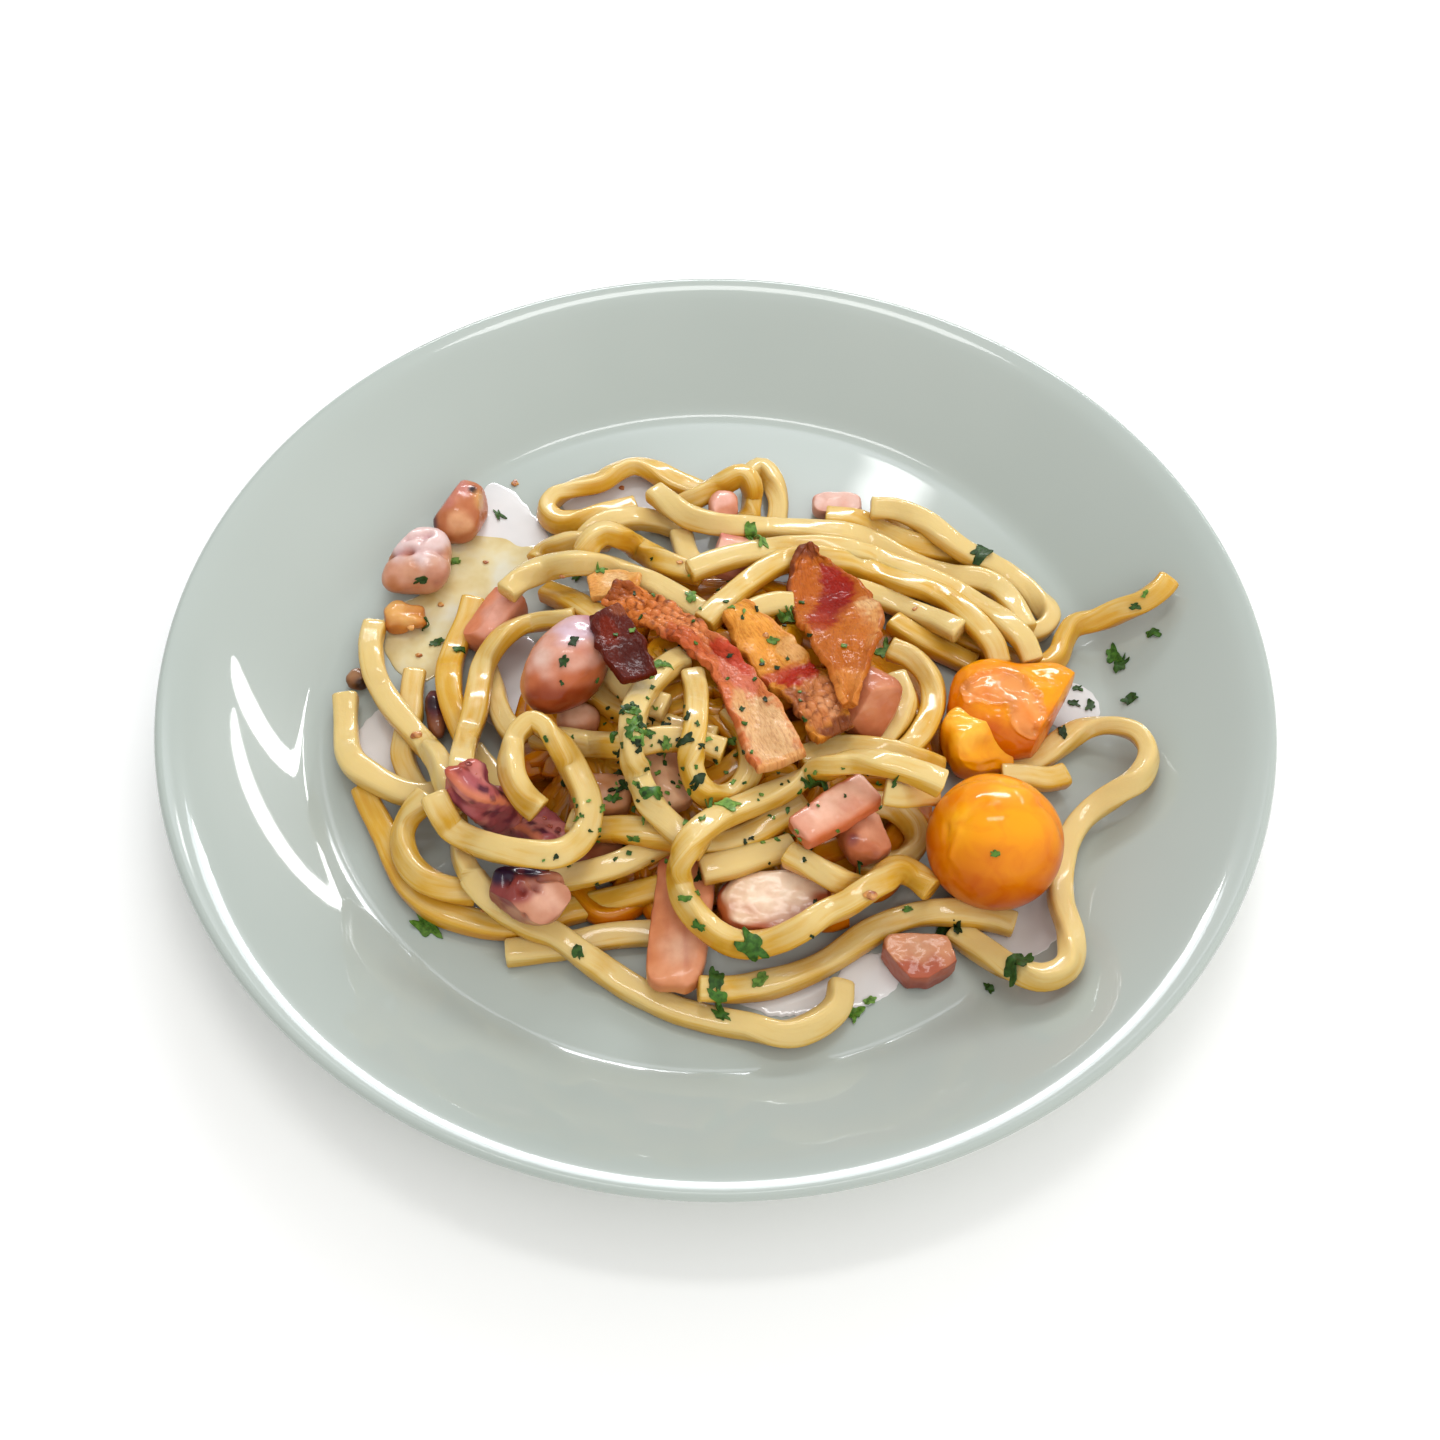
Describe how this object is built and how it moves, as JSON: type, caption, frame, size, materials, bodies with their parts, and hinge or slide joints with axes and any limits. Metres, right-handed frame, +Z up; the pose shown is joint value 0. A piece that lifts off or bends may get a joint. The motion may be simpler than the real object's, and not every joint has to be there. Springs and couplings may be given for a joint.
{
  "type": "plate of scialatielli pasta with octopus",
  "caption": "Thick flat-cut pasta in a loose heap with octopus pieces, fried bacon, yellow cherry tomatoes and torn herbs on a round coupe plate.",
  "frame": {"origin": "middle of the plate's foot, on the surface that the plate stands on", "axes": "+Z up; -Y towards the eater"},
  "size_m": [0.26, 0.26, 0.0445],
  "materials": {
    "plate_glaze": "glossy pale sage glaze",
    "pasta": "boiled egg pasta with a thin film of sauce",
    "octopus": "moist boiled octopus",
    "octopus_dark": "moist charred octopus skin",
    "bacon": "fried lean bacon",
    "bacon_fat": "rendered bacon fat",
    "tomato": "wet yellow tomato skin",
    "herb": "dull torn leaf"
  },
  "bodies": {
    "root": {"plate": "plate_glaze", "noodle_heap": "pasta", "octopus_head": "octopus", "octopus_left_chunk": "octopus", "octopus_back_slab": "octopus", "octopus_back_bit": "octopus", "octopus_back_middle": "octopus", "octopus_cut_end": "octopus", "octopus_small_bean": "octopus", "octopus_side_slab": "octopus", "octopus_long_chunk": "octopus", "octopus_front_strip": "octopus", "octopus_round_slice": "octopus", "octopus_pink_bar": "octopus", "octopus_front_chunk": "octopus", "octopus_knob": "octopus", "octopus_tip": "octopus_dark", "octopus_brown_bit": "octopus_dark", "octopus_dark_sliver": "octopus_dark", "octopus_dark_slice": "octopus_dark", "octopus_sucker_chunk": "octopus_dark", "octopus_charred_arm": "octopus_dark", "octopus_charred_foot": "octopus_dark", "bacon_strip": "bacon", "bacon_diamond": "bacon", "bacon_dark": "bacon", "bacon_pale": "bacon_fat", "bacon_clear": "bacon_fat", "tomato_whole": "tomato", "tomato_burst": "tomato", "tomato_bit": "tomato"}
  },
  "joints": []
}
